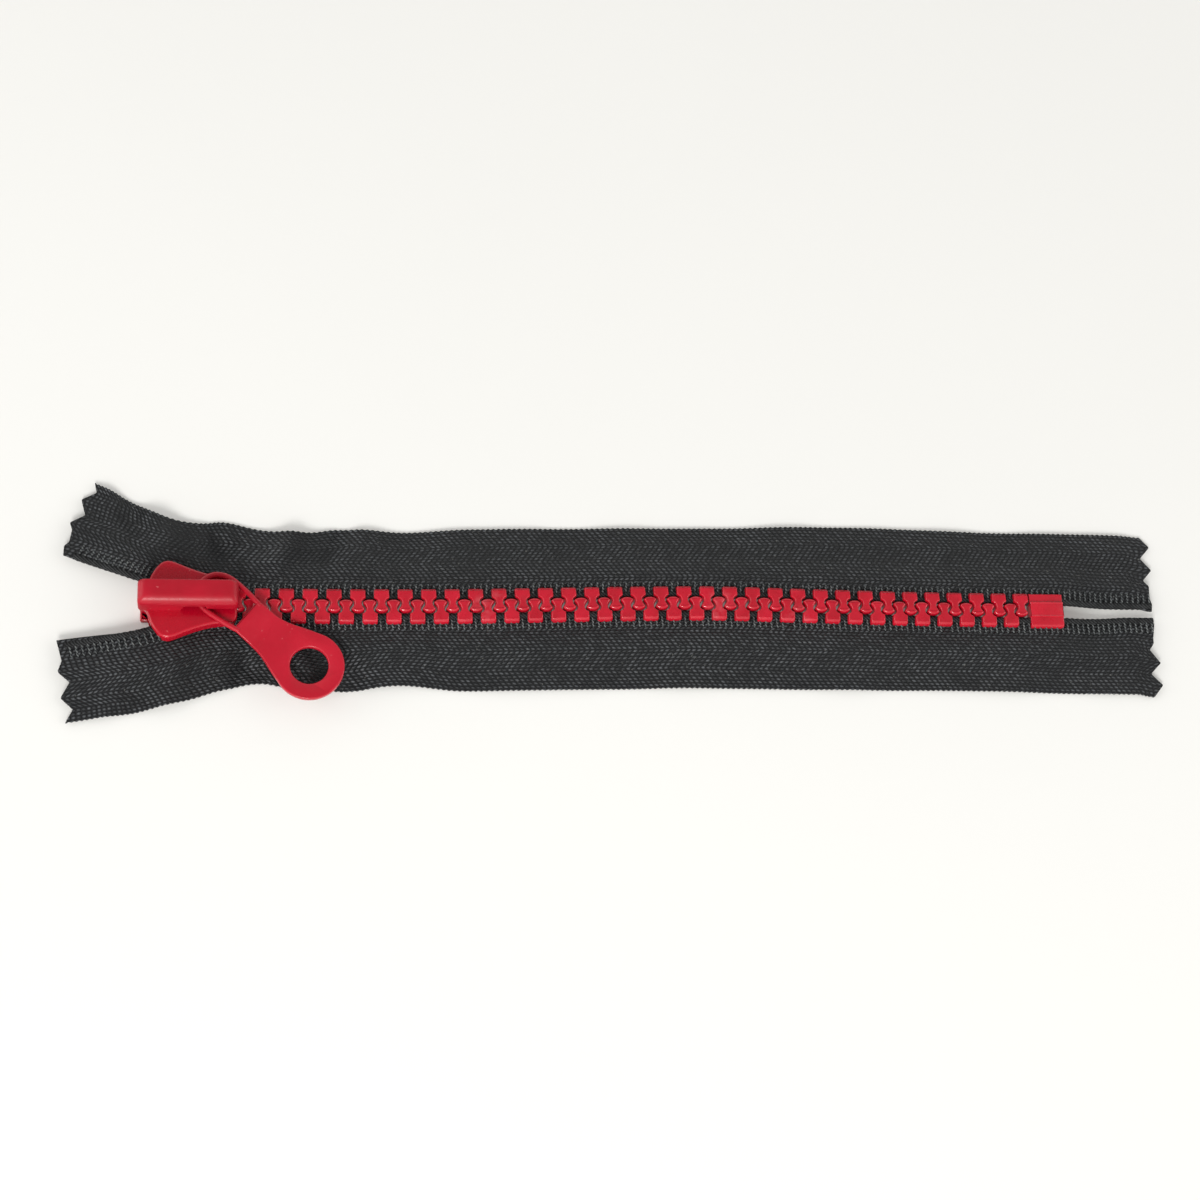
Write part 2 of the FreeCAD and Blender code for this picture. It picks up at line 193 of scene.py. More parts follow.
def weave_group():
    """Herringbone weave from the place along and across the tape, both in millimetres."""
    sizes = {
        "Along": 0.0, "Across": 0.0,
        "Float length": 1.04, "Row width": 0.66, "Rows to turn": 5.5, "Step": 0.46,
    }
    outs = {"Height": "NodeSocketFloat", "Yarn": "NodeSocketFloat", "Own shade": "NodeSocketFloat"}
    group, given, result = node_group("Herringbone weave", sizes, outs)
    rows = maths(group, "DIVIDE", given.outputs["Across"], given.outputs["Row width"])
    row = maths(group, "FLOOR", rows)
    in_row = maths(group, "FRACT", rows)
    turned = maths(group, "PINGPONG", rows, given.outputs["Rows to turn"])
    shift = maths(group, "MULTIPLY", turned, given.outputs["Step"])
    in_line = maths(group, "DIVIDE", given.outputs["Along"], given.outputs["Float length"])
    floats = maths(group, "ADD", in_line, shift)
    in_float = maths(group, "FRACT", floats)

    def arch(share, fullness):
        """Rises from nothing at each end of a float to 1 in its middle."""
        wave = maths(group, "SINE", maths(group, "MULTIPLY", share, math.pi))
        return maths(group, "POWER", wave, fullness)

    height = maths(group, "MULTIPLY", arch(in_float, 0.75), arch(in_row, 0.6))
    cell = group.nodes.new("ShaderNodeCombineXYZ")
    group.links.new(maths(group, "FLOOR", floats), cell.inputs[0])
    group.links.new(row, cell.inputs[1])
    shade = group.nodes.new("ShaderNodeTexWhiteNoise")
    shade.noise_dimensions = "2D"
    group.links.new(cell.outputs[0], shade.inputs["Vector"])
    fibres = maths(group, "SINE", maths(group, "MULTIPLY", in_row, 6 * math.pi))
    height_all = maths(group, "ADD", height, maths(group, "MULTIPLY", fibres, 0.05))
    group.links.new(height_all, result.inputs["Height"])
    group.links.new(height, result.inputs["Yarn"])
    group.links.new(shade.outputs["Value"], result.inputs["Own shade"])
    return group


WEAVE = weave_group()


def place_group(tree, group, **links):
    """Puts a shared node group in a material, linking or setting its inputs."""
    node = tree.nodes.new("ShaderNodeGroup")
    node.node_tree = group
    for label, value in links.items():
        socket = node.inputs[label.replace("_", " ")]
        if isinstance(value, (int, float)):
            socket.default_value = value
        else:
            tree.links.new(value, socket)
    return node.outputs


def new_material(name):
    """A plain new material, with its node tree and its Principled shader."""
    material = bpy.data.materials.new(name)
    material.use_nodes = True
    shader = material.node_tree.nodes["Principled BSDF"]
    return material, material.node_tree, shader


def bump_into(tree, shader, height, strength, distance):
    """Feeds a height through a Bump node into the shader's normal."""
    bump = tree.nodes.new("ShaderNodeBump")
    bump.inputs["Strength"].default_value = strength
    bump.inputs["Distance"].default_value = distance * MM
    tree.links.new(height, bump.inputs["Height"])
    tree.links.new(bump.outputs["Normal"], shader.inputs["Normal"])


def tape_cloth():
    """Charcoal herringbone with painted grey glints on the yarn tops, dark gaps between them, and painted
    light and shade on the folds.
    """
    material, tree, shader = new_material("tape cloth")
    along, across = named_value(tree, "along"), named_value(tree, "across")
    weave = place_group(tree, WEAVE, Along=along, Across=across)
    where = object_place(tree)
    # painted glint: the higher a float's top, the paler grey it is made
    lifted = range_node(tree, weave["Yarn"], 0.45, 1.0)
    glint = maths(tree, "MULTIPLY", lifted, range_node(tree, weave["Own shade"], 0.2, 1.0, 0.25, 1.0))
    patches = noise_node(tree, where, 90.0, 3.0)
    glint = maths(tree, "MULTIPLY", glint, range_node(tree, patches, 0.3, 0.7, 0.65, 1.15))
    # painted light and shade: slopes of the folds facing one way along the tape are made paler, those facing
    # the other way darker
    fold_painted_light = range_node(tree, named_value(tree, "facing"), -0.4, 0.4, 1.7, 0.3)
    glint = maths(tree, "MULTIPLY", glint, fold_painted_light)
    yarn = colour_mix(tree, glint, (0.0075, 0.0082, 0.0092), (0.098, 0.104, 0.112))
    lint = maths(tree, "GREATER_THAN", noise_node(tree, where, 1900.0, 1.0), 0.74)
    colour = colour_mix(tree, maths(tree, "MULTIPLY", lint, 0.5), yarn, (0.16, 0.16, 0.15))
    tree.links.new(colour, shader.inputs["Base Color"])
    rough = range_node(tree, weave["Own shade"], 0.0, 1.0, 0.5, 0.7)
    tree.links.new(rough, shader.inputs["Roughness"])
    shader.inputs["Specular IOR Level"].default_value = 0.27
    bump_into(tree, shader, weave["Height"], 1.0, 0.3)
    return material


TAPE_CLOTH = tape_cloth()


# ---- tapes ---------------------------------------------
# Two woven strips 15 mm wide, pinked at both ends so that they don't fray. Each is one length of cloth, made
# here in four stretches that meet between the chain's hinge lines, level by the teeth and resting on the
# table.
TAPE_THICK, TAPE_WIDE = 0.5, 14.8
# Outer edges: (station at the chain, X, distance out from the middle line).
OUTER_EDGE = {
    1: [
        (112, 112, 17.71), (98, 98, 17.98), (69, 69, 18.18), (44.5, 44.5, 18.78), (16, 16, 18.09),
        (-11.6, -11.6, 17.58), (-30, -30, 17.08), (-43, -43, 16.29), (-55, -55, 16.67),
        (-62.5, -62.5, 15.56), (-70, -70, 16.3), (-77, -77, 17.88), (-83, -82, 17.51),
        (-89, -88.3, 18.22), (-95, -93.4, 20.99), (-101.5, -98.5, 23.79), (-107, -102.4, 25.9),
    ],
    -1: [
        (112, 112, 15.58), (94, 94, 15.52), (66, 66, 15.02), (42, 42, 15.01), (14, 14, 14.81),
        (-13, -13, 15.31), (-32, -32, 15.61), (-43.5, -43.5, 14.81), (-55, -55, 16), (-63, -63, 15.69),
        (-70, -70, 14.42), (-77.3, -77.3, 15.91), (-85, -84.7, 18.31), (-93, -92.1, 20.2),
        (-101, -99.4, 21.5), (-108, -106, 22.6),
    ],
}
# Pinked cuts as plan points from the beaded edge out: tip, notch, tip.
PINKED_TOP = {
    1: [
        (-107, 10.4), (-106.9, 12.2), (-106, 13), (-105.5, 15.5), (-106, 17), (-103.2, 18.6), (-104, 22),
        (-101.2, 23.5), (-101.6, 25.5),
    ],
    -1: [
        (-107.7, 6.7), (-107.2, 8.5), (-106.6, 10.8), (-107.3, 12.8), (-105, 14.8), (-106.6, 17.8),
        (-104.3, 19.9), (-105.6, 22.4),
    ],
}
PINKED_BOTTOM = {
    1: [
        (106.6, 1.6), (106.8, 3), (106.4, 4.4), (106.6, 6.9), (105.5, 8.1), (107.6, 10.4), (105.6, 13),
        (107.9, 15.5), (106.1, 17.6),
    ],
    -1: [
        (106.8, 1.0), (106.2, 4.2), (106.2, 5.2), (105.2, 6.6), (107.2, 9.3), (105, 11.5), (107.3, 13.8),
        (105.4, 16.1),
    ],
}
BOTTOM_STATION, TOP_STATION = 106.6, -108.0
# Lengths over which the slant of each pinked cut fades out.
BOTTOM_FADE, TOP_FADE = 5.0, 22.0
# Folds where the slider pushes the tapes aside: (station at the chain, lean outward, width, height).
FOLDS = {
    1: [
        (-95.0, -0.55, 3.2, 0.8), (-86.0, -0.3, 3.8, 1.9), (-77.0, 0.0, 2.5, -1.5), (-69.5, 0.4, 3.2, 1.9),
        (-62.0, 0.55, 2.2, -0.7), (-54.0, 0.3, 5.0, 0.5),
    ],
    -1: [
        (-94.0, -0.45, 3.4, 0.7), (-84.0, -0.25, 4.2, 1.3), (-74.0, 0.1, 2.6, -1.2), (-67.0, 0.5, 3.0, 1.9),
        (-59.0, 0.5, 2.4, -0.6), (-51.0, 0.3, 5.0, 0.4),
    ],
}


def smooth_step(low, high, value):
    """0 below low, 1 above high and an even S between them."""
    t = min(1.0, max(0.0, (value - low) / (high - low)))
    return t * t * (3 - 2 * t)


TOP_DROP, BOTTOM_DROP = 1.3, 1.75


def bead_height(station):
    """Height of a tape's beaded edge: level in the chain, dropping towards the loose ends."""
    top, bottom = smooth_step(-92.0, -108.0, station), smooth_step(86.0, 98.0, station)
    return CHAIN_Z - TOP_DROP * top - BOTTOM_DROP * bottom


CORD_OUT = 2.0
PINCHED = {1: 0.1, -1: 0.75}  # how far each beaded edge drifts in again past the bottom stop


def cord_out(side, station):
    """Distance of a beaded edge's middle from its side's chain line."""
    return CORD_OUT - PINCHED[side] * smooth_step(89.0, 102.0, station)


LEVEL_WIDTH = 4.0  # the cloth stays level this far out, then comes down to the table
LYING_Z = 0.3
WANDER = 0.16
OFF_TABLE = 0.02


def tape_point(side, station, share):
    """Middle of the cloth at a station and a share of its width, from the beaded edge outward."""
    inner = beside_chain(side, station, cord_out(side, station))
    x, y = through(OUTER_EDGE[side], station)
    outer = Vector((x, side * y, 0))
    width = (outer - inner).length
    point = inner.lerp(outer, share)
    out = share * width
    level = bead_height(station)
    z = level + (LYING_Z - level) * smooth_step(LEVEL_WIDTH, width + 0.5, out)
    grown = smooth_step(0.15, 0.8, share)
    for at, lean, wide, high in FOLDS[side]:
        off = (station - at - lean * out) / wide
        z += high * grown * math.exp(-off * off)
    wander = math.sin(station * 0.21 + side) + 0.6 * math.sin(station * 0.37 + 2.0 * side)
    z += WANDER * grown * (1 + wander)
    point.z = max(z, TAPE_THICK / 2 + OFF_TABLE)
    return point


def on_cut(cut, side, share):
    """Plan point on a pinked cut at a share of the way from its first to its last point."""
    tips = [Vector((x, side * y, 0)) for x, y in cut]
    whole = tips[-1] - tips[0]
    places = [(tip - tips[0]).dot(whole) / whole.length_squared for tip in tips]
    k = 0
    while k < len(tips) - 2 and places[k + 1] < share:
        k += 1
    t = (share - places[k]) / (places[k + 1] - places[k])
    return tips[k].lerp(tips[k + 1], t)


def mesh_piece(name, points, faces, smooth=True):
    """A named mesh from points in millimetres, kept in metres."""
    mesh = bpy.data.meshes.new(name)
    mesh.from_pydata([(p[0] * MM, p[1] * MM, p[2] * MM) for p in points], [], faces)
    mesh.validate()
    mesh.polygons.foreach_set("use_smooth", [smooth] * len(mesh.polygons))
    piece = bpy.data.objects.new(name, mesh)
    bpy.context.scene.collection.objects.link(piece)
    return piece


ACROSS_CELLS, CELL = 48, 0.26
SELVEDGE_LOOP, SELVEDGE_PITCH = 0.11, 1.02
BAND_WIDE = 3.63  # one band of the herringbone, 5.5 rows; the right-hand tape starts one band on
SLOPE_CELLS = 4  # rows of cells either way over which the slope of a fold is taken


def tape_stretch(side, name, from_x, to_x):
    """One stretch of a tape between two stations; the first and last are cut to the pinked ends."""
    count = max(8, int(abs(from_x - to_x) / CELL))
    cuts = []
    if to_x <= TOP_STATION:
        cuts.append((to_x, TOP_FADE, PINKED_TOP[side]))
    if from_x >= BOTTOM_STATION:
        cuts.append((from_x, BOTTOM_FADE, PINKED_BOTTOM[side]))
    band_shift = BAND_WIDE if side > 0 else 0.0
    points, alongs, acrosses = [], [], []
    for i in range(count + 1):
        station = from_x + (to_x - from_x) * i / count
        for j in range(ACROSS_CELLS + 1):
            share = j / ACROSS_CELLS
            point = tape_point(side, station, share)
            for end_at, fade, cut in cuts:
                pulled = 1 - smooth_step(0.0, fade, abs(station - end_at))
                if pulled > 0:
                    off = on_cut(cut, side, share) - tape_point(side, end_at, share)
                    point += Vector((off.x, off.y, 0)) * pulled
            if j == ACROSS_CELLS:
                point.y += side * SELVEDGE_LOOP * math.sin(station * 2 * math.pi / SELVEDGE_PITCH)
            points.append(point)
            alongs.append(station)
            acrosses.append(share * TAPE_WIDE + band_shift)
    row = ACROSS_CELLS + 1
    total = len(points)
    span = SLOPE_CELLS * row
    # slope of the folds along the tape, kept as facing for the cloth's painted light and shade
    facings = []
    for i in range(total):
        ahead, behind = points[min(i + span, total - row + i % row)], points[max(i - span, i % row)]
        facings.append((ahead.z - behind.z) / max((ahead - behind).length, 0.01))
    thick, half = Vector((0, 0, TAPE_THICK)), Vector((0, 0, TAPE_THICK / 2))
    points = [p + half for p in points] + [p - thick + half for p in points]
    faces = []
    for i in range(count):
        for j in range(ACROSS_CELLS):
            a, b = i * row + j, i * row + j + 1
            c, d = b + row, a + row
            faces.append((a, b, c, d) if side > 0 else (d, c, b, a))
            low = (a + total, d + total, c + total, b + total)
            faces.append(low if side > 0 else low[::-1])
    rim = list(range(row)) + [i * row + ACROSS_CELLS for i in range(1, count + 1)]
    rim += [count * row + j for j in range(ACROSS_CELLS - 1, -1, -1)]
    rim += [i * row for i in range(count - 1, 0, -1)]
    for a, b in zip(rim, rim[1:] + rim[:1]):
        faces.append((b, a, a + total, b + total) if side > 0 else (a, b, b + total, a + total))
    piece = mesh_piece(name, points, faces)
    for label, values in (("along", alongs * 2), ("across", acrosses * 2), ("facing", facings * 2)):
        piece.data.attributes.new(label, "FLOAT", "POINT").data.foreach_set("value", values)
    piece.data.materials.append(TAPE_CLOTH)
    return piece


# Where each side's tape bends as the chain opens.
HINGES = {1: [72.0, 58.5, 9.0, -40.5], -1: [69.75, 56.25, 6.75, -42.75]}
SEGMENTS = ["bottom", "lower", "middle", "upper", "top"]
STRETCHES = ["foot", "low", "mid", "head"]


def stretch_ends(side):
    """Stations where a side's four stretches of tape begin and end, with seams between its hinges."""
    hinges = HINGES[side]
    seams = [(a + b) / 2 for a, b in zip(hinges, hinges[1:])]
    return [BOTTOM_STATION] + seams + [TOP_STATION]


def segment_body(hand, segment):
    """The CAD body that carries a segment of one side's chain."""
    return "chain_bottom" if segment == "bottom" else f"{hand}_{segment}"


def bend_with_chain(piece):
    """Bakes the placing of a stretch of tape or beaded edge into its mesh."""
    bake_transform(piece)


# ---- beaded edges --------------------------------------
# A thick cord is woven into the inner edge of each tape, and the teeth are moulded round it. Chain stitch
# runs along it, so that pale rungs cross it wherever the teeth leave it bare.
BEAD_RADIUS, BEAD_STEP = 0.7, 0.275
BEAD_RIPPLE, BEAD_FUZZ = 0.06, 0.035
BEAD_SHORT = 0.9  # the cord is cut this much short of the tape's top end
STITCH_PITCH, STITCH_RADIUS, STITCH_SLANT = 1.13, 0.19, 0.22
# One rung of the chain stitch: (distance out from the chain line, height over the cord's middle).
RUNG = [(2.45, 0.35), (2.7, 0.5), (3.0, 0.4), (3.5, 0.36), (4.0, 0.34), (4.35, 0.3), (4.55, 0.15)]


def tube(path, radii, around=10):
    """Points and faces of a closed round tube along a path of points."""
    points, faces = [], []
    last = len(path) - 1
    side_way = None
    for i, here in enumerate(path):
        ahead = (path[min(i + 1, last)] - path[max(i - 1, 0)]).normalized()
        if side_way is None:
            start = Vector((0, 0, 1)) if abs(ahead.z) < 0.9 else Vector((0, 1, 0))
            side_way = ahead.cross(start).normalized()
        side_way = (side_way - ahead * side_way.dot(ahead)).normalized()
        up_way = side_way.cross(ahead)
        for k in range(around):
            angle = 2 * math.pi * k / around
            points.append(here + (side_way * math.cos(angle) + up_way * math.sin(angle)) * radii[i])
    for i in range(last):
        for k in range(around):
            a, b = i * around + k, i * around + (k + 1) % around
            faces.append((a, b, b + around, a + around))
    faces.append(tuple(range(around))[::-1])
    faces.append(tuple(last * around + k for k in range(around)))
    return points, faces


def bead_cloth(name, dark, pale, rough):
    """Twisted yarn: fine slanting plies in paler and darker stripes."""
    material, tree, shader = new_material(name)
    where = object_place(tree)
    plies = tree.nodes.new("ShaderNodeTexWave")
    plies.bands_direction = "DIAGONAL"
    plies.inputs["Scale"].default_value = 900.0
    plies.inputs["Distortion"].default_value = 2.0
    plies.inputs["Detail Scale"].default_value = 3.0
    tree.links.new(where, plies.inputs["Vector"])
    shade = maths(tree, "MULTIPLY", plies.outputs["Fac"], noise_node(tree, where, 700.0, 3.0))
    yarn = colour_mix(tree, range_node(tree, shade, 0.1, 0.55), dark, pale)
    tree.links.new(yarn, shader.inputs["Base Color"])
    tree.links.new(range_node(tree, shade, 0.0, 0.6, rough + 0.1, rough), shader.inputs["Roughness"])
    shader.inputs["Specular IOR Level"].default_value = 0.2
    bump_into(tree, shader, plies.outputs["Fac"], 0.5, 0.08)
    return material


BEAD_CLOTH = bead_cloth("beaded edge", (0.005, 0.0052, 0.0055), (0.04, 0.042, 0.044), 0.7)
STITCH_CLOTH = bead_cloth("chain stitch", (0.022, 0.025, 0.027), (0.17, 0.18, 0.18), 0.5)


def bead_stretch(side, name, from_x, to_x):
    """One stretch of beaded edge with its rungs of chain stitch, following the tape it belongs to."""
    count = int(abs(from_x - to_x) / BEAD_STEP)
    path, radii = [], []
    for i in range(count + 1):
        station = from_x + (to_x - from_x) * i / count
        path.append(beside_chain(side, station, cord_out(side, station), bead_height(station)))
        fuzz = BEAD_FUZZ * math.sin(station * 9.1) * math.sin(station * 3.7 + side)
        ripple = BEAD_RIPPLE * math.cos(station * 2 * math.pi / STITCH_PITCH)
        radii.append(BEAD_RADIUS + fuzz + ripple)
    points, faces = tube(path, radii, 12)
    bead_faces = len(faces)
    station = math.floor(from_x / STITCH_PITCH) * STITCH_PITCH
    while station > to_x + 0.4:
        line = []
        for i, (out, high) in enumerate(RUNG):
            at = station + STITCH_SLANT * (i / (len(RUNG) - 1) - 0.5)
            away = out + cord_out(side, at) - CORD_OUT
            line.append(beside_chain(side, at, away, bead_height(at) + high))
        more, sides = tube(line, [STITCH_RADIUS] * len(line), 6)
        faces += [tuple(v + len(points) for v in face) for face in sides]
        points += more
        station -= STITCH_PITCH
    piece = mesh_piece(name, points, faces)
    piece.data.materials.append(BEAD_CLOTH)
    piece.data.materials.append(STITCH_CLOTH)
    for face in piece.data.polygons[bead_faces:]:
        face.material_index = 1
    return piece


for hand, side in SIDES.items():
    ends = stretch_ends(side)
    for k, stretch in enumerate(STRETCHES):
        from_x, to_x = ends[k], ends[k + 1]
        tape = tape_stretch(side, f"{hand}_tape_{stretch}", from_x, to_x)
        at_top = stretch == "head"
        bead = bead_stretch(side, f"{hand}_bead_{stretch}", from_x, to_x + (BEAD_SHORT if at_top else 0.0))
        carried = SEGMENTS[k:] if at_top else SEGMENTS[k:k + 1]
        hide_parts(*[f"{hand}_tape_{segment}" for segment in carried])
        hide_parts(*[f"{hand}_cord_{segment}" for segment in carried])
        bend_with_chain(tape)
        bend_with_chain(bead)


# ---- teeth ---------------------------------------------
# Acetal resin teeth injected straight on to the beaded edge. Each has a square block on the tape, a narrow
# neck and a rounded head that locks between two necks opposite. Its edges are soft, its outer end drafted.
PITCH = 4.5
FIRST_TOOTH = {1: 78.75, -1: 76.5}
TEETH_IN = {"bottom": 2, "lower": 3, "middle": 11, "upper": 11, "top": 10}
TOOTH_THICK, TOOTH_DRAFT = 2.8, 0.42


def surface_group():
    """Moulded or lacquered surface: slow cloudiness, fine scuffs, a faint ripple and a mask of the thin
    edges for a painted highlight.
    """
    sizes = {"Cloud scale": 160.0, "Scuff scale": 900.0, "Ripple scale": 500.0}
    outs = {label: "NodeSocketFloat" for label in ("Cloud", "Scuff", "Ripple", "Edge")}
    group, given, result = node_group("Hard surface", sizes, outs)
    where = group.nodes.new("ShaderNodeTexCoord").outputs["Object"]
    for label, detail in (("Cloud", 2.0), ("Scuff", 5.0), ("Ripple", 1.0)):
        noise = group.nodes.new("ShaderNodeTexNoise")
        noise.inputs["Detail"].default_value = detail
        group.links.new(given.outputs[f"{label} scale"], noise.inputs["Scale"])
        group.links.new(where, noise.inputs["Vector"])
        spread = range_node(group, noise.outputs["Fac"], 0.35, 0.68)
        group.links.new(spread, result.inputs[label])
    # the thin edges, where a painted highlight goes
    sharp = group.nodes.new("ShaderNodeNewGeometry").outputs["Pointiness"]
    group.links.new(range_node(group, sharp, 0.5, 0.62), result.inputs["Edge"])
    return group


HARD_SURFACE = surface_group()


def moulded_resin():
    """Red resin with a satin skin, paler where it is scuffed, with a painted highlight of brighter red along
    the thin edges.
    """
    material, tree, shader = new_material("moulded resin")
    marks = place_group(tree, HARD_SURFACE, Cloud_scale=230.0, Scuff_scale=1100.0, Ripple_scale=800.0)
    base = colour_mix(tree, marks["Cloud"], (0.40, 0.003, 0.015), (0.50, 0.005, 0.022))
    handled = range_node(tree, noise_node(tree, object_place(tree), 95.0), 0.62, 0.7)
    worn = maths(tree, "MULTIPLY", handled, marks["Scuff"])
    colour = colour_mix(tree, maths(tree, "MULTIPLY", worn, 0.4), base, (0.55, 0.09, 0.11))
    # painted highlight: the thin edges are made a brighter red
    colour = colour_mix(tree, maths(tree, "MULTIPLY", marks["Edge"], 0.35), colour, (0.6, 0.012, 0.03))
    tree.links.new(colour, shader.inputs["Base Color"])
    tree.links.new(range_node(tree, marks["Scuff"], 0.0, 1.0, 0.24, 0.38), shader.inputs["Roughness"])
    shader.inputs["Specular IOR Level"].default_value = 0.35
    shader.inputs["Coat Weight"].default_value = 0.5
    shader.inputs["Coat Roughness"].default_value = 0.1
    shader.inputs["Subsurface Weight"].default_value = 0.04
    shader.inputs["Subsurface Radius"].default_value = (0.0012, 0.0003, 0.0003)
    bump_into(tree, shader, marks["Ripple"], 0.25, 0.05)
    return material


RESIN = moulded_resin()


def tooth_outline():
    """Plan outline of a right-hand tooth, block to head and back: (x, y, softness of the edge)."""
    half = [
        (1.22, 3.62, 0.36), (1.45, 3.4, 0.26), (1.46, 1.75, 0.14), (1.38, 1.52, 0.16), (1.02, 1.32, 0.24),
        (0.76, 0.98, 0.26), (0.7, 0.55, 0.3), (0.8, 0.12, 0.34), (1.08, -0.28, 0.38), (1.27, -0.6, 0.4),
        (1.2, -0.9, 0.42), (0.85, -1.14, 0.44), (0.44, -1.26, 0.44),
    ]
    left_half = [(-x, y, soft) for x, y, soft in reversed(half)]
    return half + [(0.0, -1.29, 0.44)] + left_half


def stacked(outline, levels):
    """Solid over a plan outline, drawn in at each level: levels are (height, share of the softness)."""
    count = len(outline)
    ways = []
    for i in range(count):
        before, after = Vector(outline[i - 1][:2]), Vector(outline[(i + 1) % count][:2])
        along = (after - before).normalized()
        ways.append(Vector((along.y, -along.x)))
    turn = 0.0
    for (x, y, _), (next_x, next_y, _) in zip(outline, outline[1:] + outline[:1]):
        turn += x * next_y - next_x * y
    outward = 1.0 if turn > 0 else -1.0
    points, faces = [], []
    for height, share in levels:
        for (x, y, soft), way in zip(outline, ways):
            across, along = x - outward * way.x * soft * share, y - outward * way.y * soft * share
            points.append(Vector((across, along, height)))
    for level in range(len(levels) - 1):
        for i in range(count):
            a, b = level * count + i, level * count + (i + 1) % count
            face = (a, b, b + count, a + count)
            faces.append(face if turn > 0 else face[::-1])
    bottom = tuple(range(count))
    top = tuple(range((len(levels) - 1) * count, len(levels) * count))
    faces.append(bottom[::-1] if turn > 0 else bottom)
    faces.append(top if turn > 0 else top[::-1])
    return points, faces


SOFT_LEVELS = [(-1.0, 1.05), (-1.0, 1.0), (-0.95, 0.55), (-0.82, 0.18), (-0.6, 0.0)]
SOFT_LEVELS += [(-high, share) for high, share in reversed(SOFT_LEVELS)]
TOOTH = stacked(tooth_outline(), [(high * TOOTH_THICK / 2, share) for high, share in SOFT_LEVELS])
for corner in TOOTH[0]:  # the block's outer end leans in towards its top, to leave the mould
    outer_end = smooth_step(1.8, 3.4, corner.y)
    corner.y -= TOOTH_DRAFT * outer_end * min(max((corner.z - 0.25) / 1.15, 0.0), 1.0)


def set_on_chain(shape, side, station):
    """A shape drawn for the right side at the origin, set on its side's chain line."""
    here, turned = chain_line(side, station)
    slope = (bow(station + 0.5) - bow(station - 0.5)) if turned == 0.0 else 0.0
    turning = Matrix.Rotation(-side * turned + math.atan(slope), 3, "Z")
    points = []
    for p in shape[0]:
        spot = turning @ Vector((p.x, side * p.y, p.z))
        points.append(spot + here + Vector((0, 0, CHAIN_Z)))
    faces = shape[1] if side > 0 else [face[::-1] for face in shape[1]]
    return points, faces


def joined(parts):
    """Points and faces of several shapes as one."""
    points, faces = [], []
    for more, sides in parts:
        faces += [tuple(v + len(points) for v in face) for face in sides]
        points += more
    return points, faces


for hand, side in SIDES.items():
    number = 0
    for segment, count in TEETH_IN.items():
        stations = [FIRST_TOOTH[side] - k * PITCH for k in range(number, number + count)]
        row = [set_on_chain(TOOTH, side, station) for station in stations]
        number += count
        teeth = mesh_piece(f"{hand}_tooth_row_{segment}", *joined(row))
        teeth.data.materials.append(RESIN)
        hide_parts(f"{hand}_teeth_{segment}")
        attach(teeth, segment_body(hand, segment))


# ---- bottom stop ---------------------------------------
# A resin block moulded across both beaded edges to hold the foot of the chain together, with a raised band
# along its middle between two lower steps. The two top stops are the same resin, hidden by the slider.
STOP_FROM, STOP_TO = 80.5, 87.2
STOP_SOFT, STOP_ROUND = 0.14, 0.2
# Right half of its cross-section: (distance from the middle line, height).
STOP_SECTION = [
    (3.65, 1.55), (3.65, 3.0), (3.3, 3.8), (3.12, 3.95), (1.75, 3.98), (1.58, 4.0), (1.52, 4.3),
    (1.42, 4.36), (1.3, 4.34), (1.2, 4.24),
]


def lying(shape, x_way, y_way):
    """A stacked shape turned so that its plan lies along two other directions."""
    x_way, y_way = Vector(x_way), Vector(y_way)
    stack_way = x_way.cross(y_way)
    return [x_way * p.x + y_way * p.y + stack_way * p.z for p in shape[0]], shape[1]


def rounded_levels(low, high, low_round, high_round):
    """Levels for a stacked shape whose low and high rims are rounded over those heights."""
    levels = []
    if low_round:
        levels.append((low, 1.04))
        for step in range(5):
            turn = math.pi / 2 * step / 4
            levels.append((low + low_round * (1 - math.cos(turn)), 1 - math.sin(turn)))
    else:
        levels.append((low, 0.0))
    if high_round:
        for step in range(4, -1, -1):
            turn = math.pi / 2 * step / 4
            levels.append((high - high_round * (1 - math.cos(turn)), 1 - math.sin(turn)))
        levels.append((high, 1.04))
    else:
        levels.append((high, 0.0))
    return levels


def sharpen(piece, degrees=35):
    """Smooth shading that still breaks at real corners."""
    piece.data.polygons.foreach_set("use_smooth", [True] * len(piece.data.polygons))
    piece.data.set_sharp_from_angle(angle=math.radians(degrees))


section = [(y, z, STOP_SOFT) for y, z in STOP_SECTION]
section += [(-y, z, STOP_SOFT) for y, z in reversed(STOP_SECTION)]
stop_levels = rounded_levels(STOP_FROM, STOP_TO, STOP_ROUND, STOP_ROUND)
stop = lying(stacked(section, stop_levels), (0, 1, 0), (0, 0, 1))
stop = ([p + Vector((0, bow(p.x), 0)) for p in stop[0]], stop[1])
bottom_stop = mesh_piece("bottom_stop_block", *stop)
sharpen(bottom_stop)
bottom_stop.data.materials.append(RESIN)
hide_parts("bottom_stop")
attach(bottom_stop, "chain_bottom")
for hand in SIDES:
    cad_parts[f"{hand}_top_stop"].data.materials[0] = RESIN


# ---- slider body ---------------------------------------
# One zinc casting under red lacquer: two plates with facing flanges that press the teeth together, a divider
# at the nose that parts them, and two lugs on top that hold the spring and the crown.
BODY_TOP = 5.7
PLATE_SOFT = 0.5
CHANNEL_FROM, CHANNEL_TO = 1.3, 4.4
TAPE_GAP_HALF = 0.55
LUG_FROM, LUG_TO = 5.3, 7.4
SLIDER_ASIDE = 0.45  # the slider's slack lets it sit a little towards the right-hand tape
